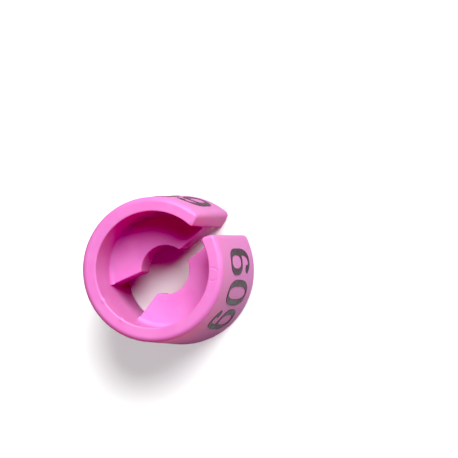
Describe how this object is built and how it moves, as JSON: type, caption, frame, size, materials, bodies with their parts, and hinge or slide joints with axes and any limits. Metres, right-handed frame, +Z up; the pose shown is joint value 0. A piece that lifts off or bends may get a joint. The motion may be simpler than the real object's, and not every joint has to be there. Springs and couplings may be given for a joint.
{
  "type": "split leg band",
  "caption": "Split plastic marker band with an inner gripping web, a slotted bore and a printed number; it clips on sideways over a leg, rod or hook.",
  "frame": {"origin": "on the bore's axis, at the face of the wide end that the band stands on", "axes": "+Z up the bore towards the narrow end with the deep recess, -Y out through the gap, +X towards the right half"},
  "size_m": [0.015, 0.0148, 0.0122],
  "materials": {
    "pink_plastic": "satin injection-moulded polypropylene, slightly translucent",
    "print_ink": "matt pad-printed ink"
  },
  "bodies": {
    "hinge": {"hinge_wall": "pink_plastic"},
    "right_jaw": {"right_shell": "pink_plastic", "right_web": "pink_plastic", "right_number": "print_ink"},
    "left_jaw": {"left_shell": "pink_plastic", "left_web": "pink_plastic", "left_number": "print_ink"}
  },
  "joints": [
    {"name": "right_opening", "type": "hinge", "parent": "hinge", "child": "right_jaw", "pos_m": [0.00158, 0.00733, 0], "axis": [0, 0, 1], "range_deg": [0, 11], "stiffness_Nm_per_rad": 2},
    {"name": "left_opening", "type": "hinge", "parent": "hinge", "child": "left_jaw", "pos_m": [-0.00158, 0.00733, 0], "axis": [0, 0, -1], "range_deg": [0, 11], "stiffness_Nm_per_rad": 2}
  ],
  "couplings": [
    {"joint": "left_opening", "follows": "right_opening", "ratio": 1}
  ]
}
